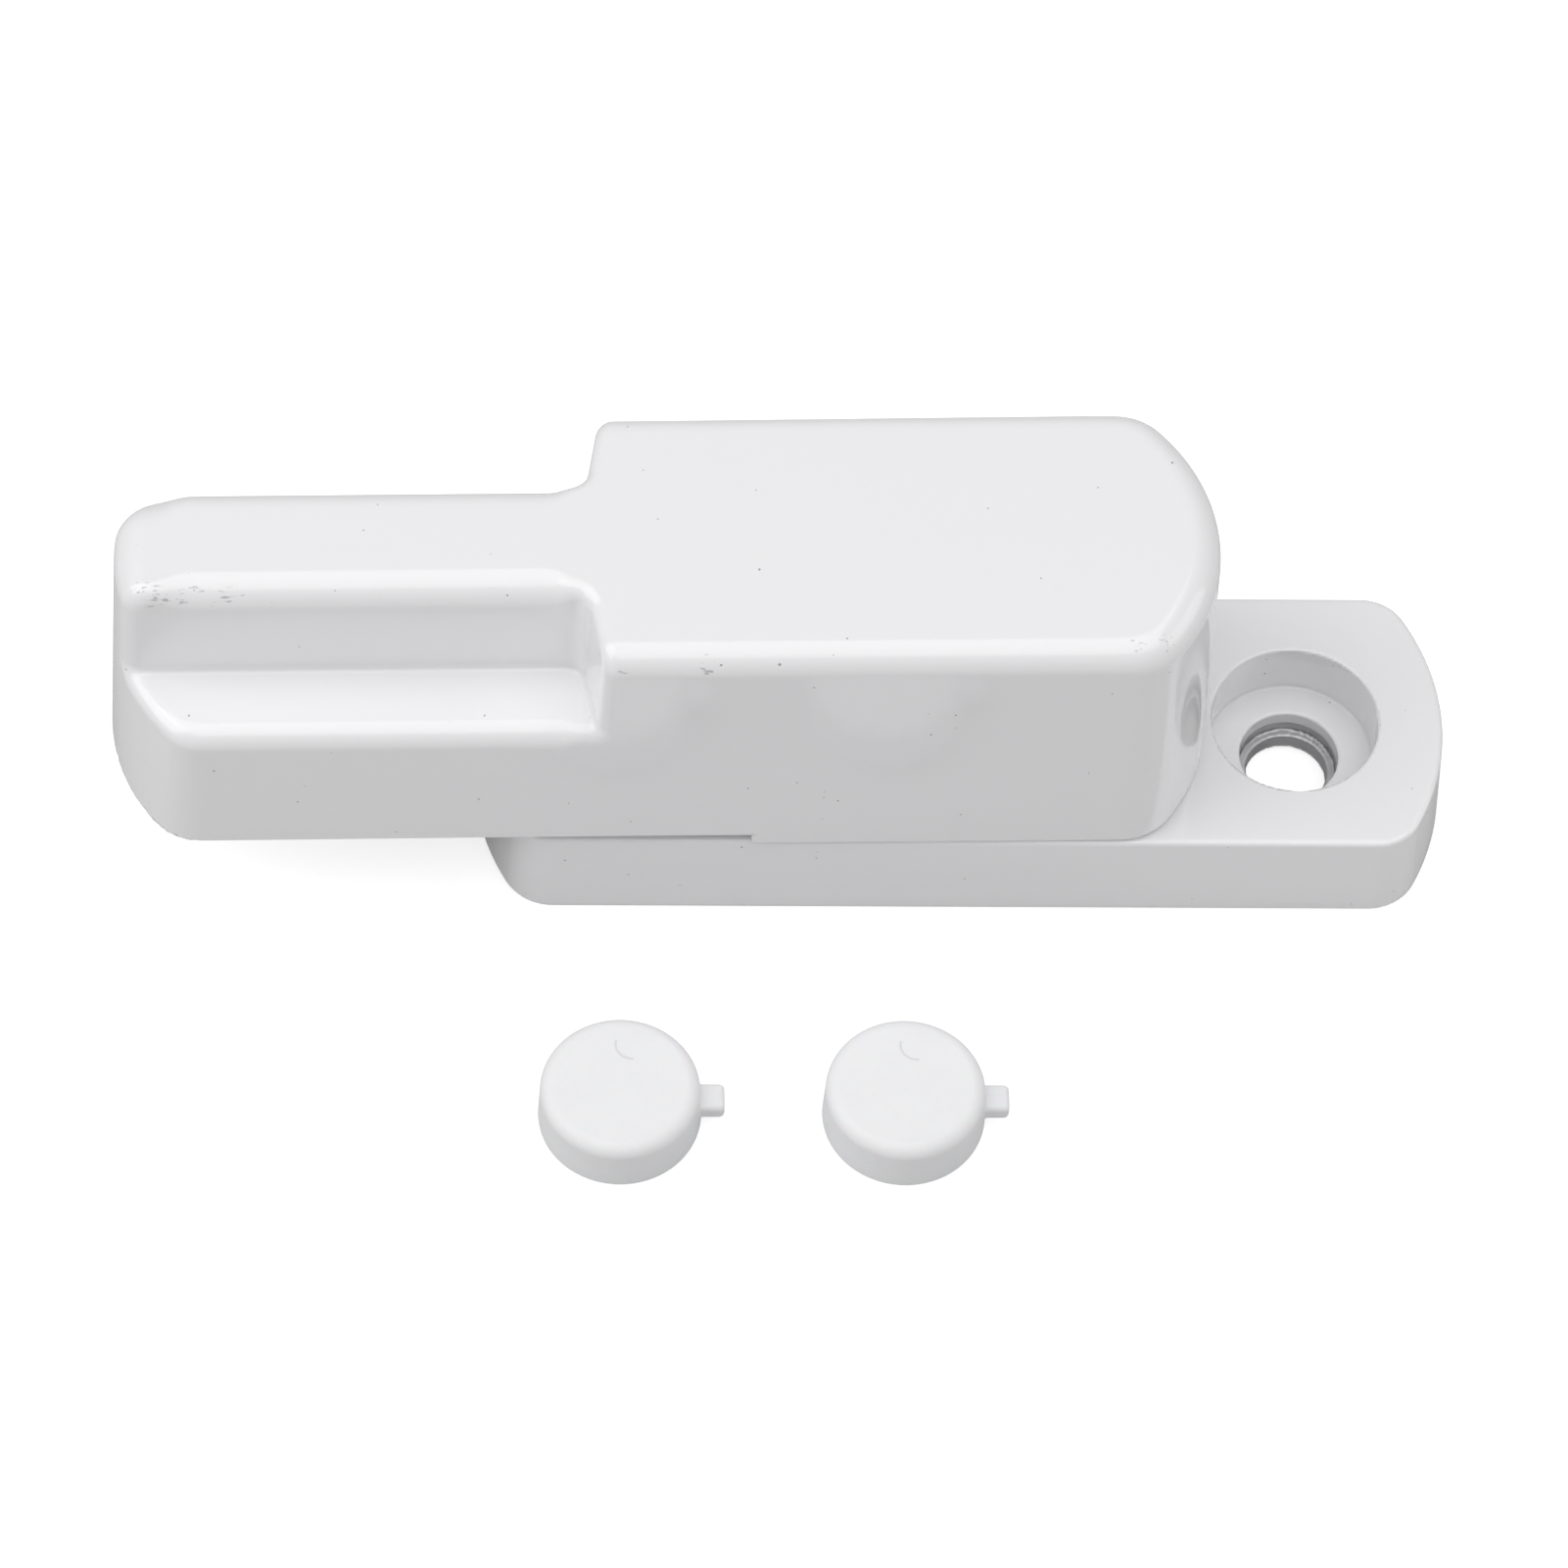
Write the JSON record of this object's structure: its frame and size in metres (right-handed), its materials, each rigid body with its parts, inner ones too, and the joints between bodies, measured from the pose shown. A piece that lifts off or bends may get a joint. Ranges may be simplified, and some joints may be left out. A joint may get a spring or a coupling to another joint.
{
  "type": "swing-arm sash and gate latch",
  "caption": "Surface-mounted latch whose thick arm swings over a sash or gate edge, with loose screw cover caps.",
  "frame": {"origin": "on the plate's back face at the pivot axis, midway between the two screw holes", "axes": "+X along the plate towards the screw hole that the parked arm leaves free, +Y across the plate away from the loose caps, +Z out of the mounting surface"},
  "size_m": [0.09, 0.0424, 0.0293],
  "materials": {
    "powder_coat": "glossy white powder coat over zinc die-casting",
    "acetal": "natural acetal, satin",
    "plated_steel": "bright zinc plating",
    "spring_steel": "tempered spring steel, lightly oiled",
    "cap_plastic": "moulded white polyethylene, soft satin"
  },
  "bodies": {
    "plate": {"base_plate": "powder_coat", "bearing_bush": "acetal", "backing_washer": "plated_steel"},
    "arm": {"swing_arm": "powder_coat", "pivot_screw": "plated_steel", "wave_washer": "spring_steel"},
    "cap_left": {"screw_cap_left": "cap_plastic"},
    "cap_right": {"screw_cap_right": "cap_plastic"}
  },
  "joints": [
    {"name": "arm_swing", "type": "hinge", "parent": "plate", "child": "arm", "pos_m": [0, 0, 0.0075], "axis": [0, 0, 1], "continuous": true},
    {"name": "cap_left_lift", "type": "slide", "parent": "plate", "child": "cap_left", "axis": [0, 0, 1], "range_m": [0, 0.03]},
    {"name": "cap_right_lift", "type": "slide", "parent": "plate", "child": "cap_right", "axis": [0, 0, 1], "range_m": [0, 0.03]}
  ]
}
